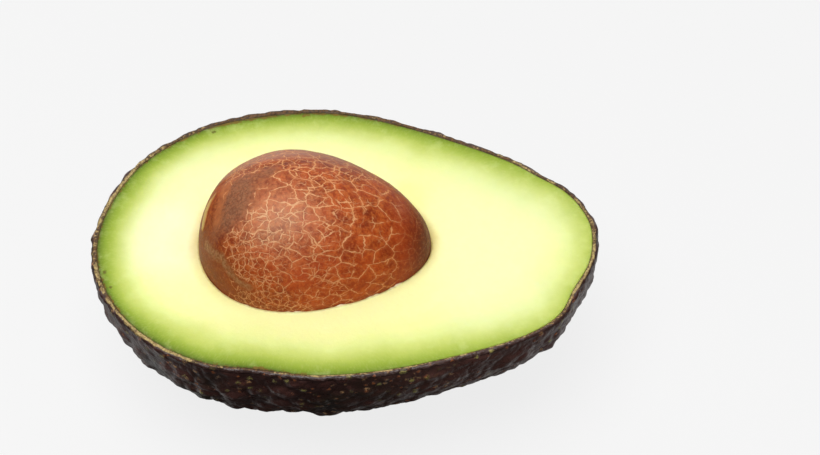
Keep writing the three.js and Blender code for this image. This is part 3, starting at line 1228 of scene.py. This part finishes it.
def floor_finish(settings):
    """A pale light table: partly lit from above and partly glowing."""
    paint = Finish(bpy.data.materials.new("pale_floor"))
    return paint.surface(
        {
            "Base Color": (settings.floor_diffuse,) * 3,
            "Roughness": 0.6,
            "Specular IOR Level": 0.0,
            "Emission Color": (1, 1, 1),
            "Emission Strength": settings.floor_glow,
        }
    )


LIGHTS = {  # place and width of each
    "key": ((-0.10, -0.16, 0.85), 0.7),
    "side": ((-0.95, 0.25, 0.22), 0.7),
    "front": ((0.10, -0.90, 0.25), 0.4),
}

# Soft panels round the object, pale ones and a dark one: direction, how near it they
# begin, brightness.
PANELS = (
    ((0, 0.96, 0.28), 0.5, 1.2),
    ((-0.62, 0.2, -0.76), 0.84, 0.58),
    ((0.6, 0.3, -0.74), 0.78, 0.6),
    ((0, -0.2, -0.98), 0.4, -0.05),
)


def white_room(settings):
    """A dim even room with a few soft panels."""
    sky = Finish(bpy.data.worlds.new("white_room"), place="Generated")
    strength = settings.surround
    for direction, begin, brightness in PANELS:
        sockets = {0: sky.place, 1: direction}
        facing = sky.node("VectorMath", {"operation": "DOT_PRODUCT"}, sockets, "Value")
        strength = sky.step(facing, begin, 1.0) * brightness + strength
    backdrop = sky.node("Background", {}, {"Color": (1.0, 0.98, 0.97), "Strength": strength})
    sky.node("OutputWorld", {}, {"Surface": backdrop})
    return sky.owner


def area_light(name, place, size, power):
    """A round soft light that points at the fruit and isn't seen itself."""
    data = bpy.data.lights.new(name, "AREA")
    data.shape = "DISK"
    data.size = size
    data.energy = power
    light = bpy.data.objects.new(name, data)
    light.location = place
    forward = Vector(FRUIT_MIDDLE) - Vector(place)
    light.rotation_euler = forward.to_track_quat("-Z", "Y").to_euler()
    light.visible_camera = False
    bpy.context.scene.collection.objects.link(light)


def make_stage(settings):
    scene = bpy.context.scene
    corners = [(x * FLOOR_HALF, y * FLOOR_HALF, 0) for x, y in ((-1, -1), (1, -1), (1, 1), (-1, 1))]
    mesh = bpy.data.meshes.new("floor")
    mesh.from_pydata(corners, [], [(0, 1, 2, 3)])
    mesh.materials.append(floor_finish(settings))
    floor = bpy.data.objects.new("floor", mesh)
    scene.collection.objects.link(floor)
    floor.visible_glossy = False
    floor.visible_diffuse = False

    scene.world = white_room(settings)

    for name, (place, size) in LIGHTS.items():
        area_light(name, place, size, getattr(settings, f"{name}_power"))

    camera_data = bpy.data.cameras.new("camera")
    camera_data.sensor_fit = "HORIZONTAL"
    camera_data.sensor_width = 36
    camera_data.lens = settings.lens
    camera_data.clip_start = 0.01
    camera = bpy.data.objects.new("camera", camera_data)
    camera.location = CAMERA_PLACE
    camera.rotation_euler = Vector(CAMERA_FORWARD).to_track_quat("-Z", "Y").to_euler()
    scene.collection.objects.link(camera)
    scene.camera = camera

    scene.view_settings.view_transform = "Standard"
    scene.view_settings.look = "None"


# ---- operators and panel ----


class AVOCADO_OT_skin(bpy.types.Operator):
    """Make the pebbled skin with its cut edge"""

    bl_idname = "avocado.skin"
    bl_label = "Skin"

    def execute(self, context):
        piece = make_skin(context.scene.avocado_skin)
        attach(piece, "root")
        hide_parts("skin")
        return {"FINISHED"}


class AVOCADO_OT_flesh(bpy.types.Operator):
    """Make the cut flesh that holds the seed"""

    bl_idname = "avocado.flesh"
    bl_label = "Flesh"

    def execute(self, context):
        piece = make_flesh(context.scene.avocado_flesh)
        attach(piece, "root")
        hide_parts("flesh")
        return {"FINISHED"}


class AVOCADO_OT_seed(bpy.types.Operator):
    """Make the seed with its crackled coat"""

    bl_idname = "avocado.seed"
    bl_label = "Seed"

    def execute(self, context):
        piece = make_seed(context.scene.avocado_seed)
        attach(piece, "root")
        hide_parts("seed")
        return {"FINISHED"}


class AVOCADO_OT_stage(bpy.types.Operator):
    """Make the pale floor, the soft lights and the camera"""

    bl_idname = "avocado.stage"
    bl_label = "Stage"

    def execute(self, context):
        make_stage(context.scene.avocado_stage)
        return {"FINISHED"}


OPERATORS = (AVOCADO_OT_skin, AVOCADO_OT_flesh, AVOCADO_OT_seed, AVOCADO_OT_stage)
GROUPS = {
    "avocado_skin": SkinSettings,
    "avocado_flesh": FleshSettings,
    "avocado_seed": SeedSettings,
    "avocado_stage": StageSettings,
}


class AVOCADO_PT_panel(bpy.types.Panel):
    """Lists the sizes, colours and operators of the avocado half"""

    bl_idname = "AVOCADO_PT_panel"
    bl_label = "Avocado Half"
    bl_space_type = "VIEW_3D"
    bl_region_type = "UI"
    bl_category = "Avocado"

    def draw(self, context):
        for operator, group_name in zip(OPERATORS, GROUPS):
            box = self.layout.box()
            group = getattr(context.scene, group_name)
            for setting in group.__annotations__:
                box.prop(group, setting)
            box.operator(operator.bl_idname)


def register():
    for cls in (*GROUPS.values(), *OPERATORS, AVOCADO_PT_panel):
        bpy.utils.register_class(cls)
    for name, cls in GROUPS.items():
        setattr(bpy.types.Scene, name, PointerProperty(type=cls))


def unregister():
    for name in GROUPS:
        delattr(bpy.types.Scene, name)
    for cls in (AVOCADO_PT_panel, *OPERATORS, *GROUPS.values()):
        bpy.utils.unregister_class(cls)


def main():
    register()
    bpy.ops.avocado.skin()
    bpy.ops.avocado.flesh()
    bpy.ops.avocado.seed()
    bpy.ops.avocado.stage()


if __name__ == "__main__":
    main()
